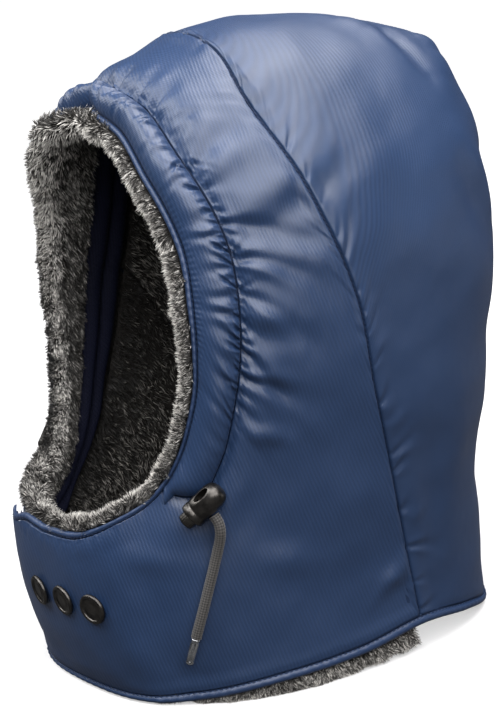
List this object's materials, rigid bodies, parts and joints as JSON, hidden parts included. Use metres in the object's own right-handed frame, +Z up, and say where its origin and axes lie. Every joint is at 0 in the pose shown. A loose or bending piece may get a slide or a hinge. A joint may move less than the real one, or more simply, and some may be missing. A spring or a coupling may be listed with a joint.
{
  "type": "detachable hood",
  "caption": "Padded winter hood with a thick fur lining, a drawcord casing with cord locks, and snaps on an overlapping chin flap, standing on its lower edge.",
  "frame": {"origin": "on the ground under the middle of the hood's bounding box", "axes": "+Z up along the hood's height, the face opening looks along -Y, the wearer's left is +X"},
  "size_m": [0.193, 0.2553, 0.303],
  "materials": {
    "shell_cloth": "navy twill weave, slight sheen",
    "edge_cloth": "navy twill, turned and stitched",
    "lining_cloth": "dark navy ribbed knit",
    "rim_fur": "grey deep pile fur",
    "dark_fur": "dark grey-brown deep pile fur",
    "gunmetal": "dark gunmetal plate, satin",
    "cord": "grey braid",
    "silver": "crimped silver metal"
  },
  "bodies": {
    "hood": {"face_edge": "edge_cloth", "drawcord_casing": "shell_cloth", "front_panel": "shell_cloth", "back_panel": "shell_cloth", "hem_band": "edge_cloth", "rim_fur": "rim_fur", "ribbed_band": "lining_cloth", "side_lining_left": "dark_fur", "side_lining_right": "dark_fur", "centre_lining": "dark_fur", "snap_cap_1": "gunmetal", "snap_cap_2": "gunmetal", "snap_cap_3": "gunmetal", "cord_lock_left": "gunmetal", "cord_lock_right": "gunmetal", "drawcord_left": "cord", "drawcord_right": "cord", "cord_tip_left": "silver", "cord_tip_right": "silver"},
    "button_left": {"lock_button_left": "gunmetal"},
    "button_right": {"lock_button_right": "gunmetal"}
  },
  "joints": [
    {"name": "button_left_press", "type": "slide", "parent": "hood", "child": "button_left", "axis": [0.3848, 0.6636, 0.6415], "range_m": [0, 0.003], "stiffness_N_per_m": 150, "springref_m": -0.002},
    {"name": "button_right_press", "type": "slide", "parent": "hood", "child": "button_right", "axis": [-0.3848, 0.6636, 0.6415], "range_m": [0, 0.003], "stiffness_N_per_m": 150, "springref_m": -0.002}
  ]
}
